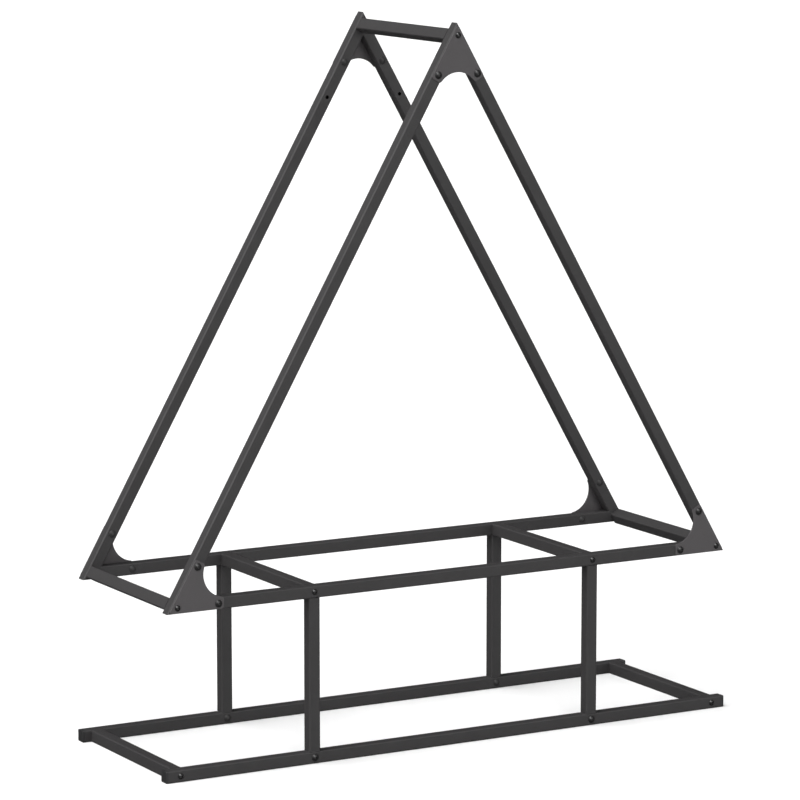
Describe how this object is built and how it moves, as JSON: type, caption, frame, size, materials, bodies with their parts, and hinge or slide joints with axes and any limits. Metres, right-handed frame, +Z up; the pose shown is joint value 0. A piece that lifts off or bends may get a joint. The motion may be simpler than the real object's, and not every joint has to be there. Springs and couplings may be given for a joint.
{
  "type": "firewood log rack",
  "caption": "Freestanding firewood rack: triangular tube frames joined by crossbars on posts over a low rectangular base frame.",
  "frame": {"origin": "centre of the footprint, on the floor", "axes": "+X along the rack's width, +Y from its front to its back, +Z up"},
  "size_m": [0.806, 0.2582, 0.9],
  "materials": {
    "tube_coat": "fine-textured matt anthracite powder coat",
    "plate_coat": "smoother, slightly lighter anthracite powder coat",
    "screw_coat": "satin black coated steel",
    "bolt_coat": "black coated steel, a little less glossy than the screws",
    "nut_coat": "satin anthracite coated steel, close to the tubes' tone",
    "cap_plastic": "moulded matt black plastic",
    "inner_steel": "plain machined steel, hidden in the tubes"
  },
  "bodies": {
    "root": {"apex_crossbar": "tube_coat", "back_apex_gusset": "plate_coat", "back_corner_screws": "screw_coat", "back_gusset_bolts": "bolt_coat", "back_gusset_sleeve_nuts": "nut_coat", "back_left_end_cap": "cap_plastic", "back_left_gusset": "plate_coat", "back_left_leg": "tube_coat", "back_left_post": "tube_coat", "back_lower_rail": "tube_coat", "back_right_end_cap": "cap_plastic", "back_right_gusset": "plate_coat", "back_right_leg": "tube_coat", "back_right_post": "tube_coat", "back_upper_rail": "tube_coat", "corner_crossbar_plugs": "inner_steel", "front_apex_gusset": "plate_coat", "front_corner_screws": "screw_coat", "front_gusset_bolts": "bolt_coat", "front_gusset_sleeve_nuts": "nut_coat", "front_left_end_cap": "cap_plastic", "front_left_gusset": "plate_coat", "front_left_leg": "tube_coat", "front_left_post": "tube_coat", "front_lower_rail": "tube_coat", "front_right_end_cap": "cap_plastic", "front_right_gusset": "plate_coat", "front_right_leg": "tube_coat", "front_right_post": "tube_coat", "front_upper_rail": "tube_coat", "left_corner_crossbar": "tube_coat", "lower_crossbar_plugs": "inner_steel", "lower_crossbar_screws": "screw_coat", "lower_left_crossbar": "tube_coat", "lower_post_spigots": "inner_steel", "lower_right_crossbar": "tube_coat", "middle_crossbar_plugs": "inner_steel", "middle_crossbar_screws": "screw_coat", "middle_left_crossbar": "tube_coat", "middle_right_crossbar": "tube_coat", "post_bolts": "bolt_coat", "post_sleeve_nuts": "nut_coat", "right_corner_crossbar": "tube_coat", "upper_post_spigots": "inner_steel"}
  },
  "joints": []
}
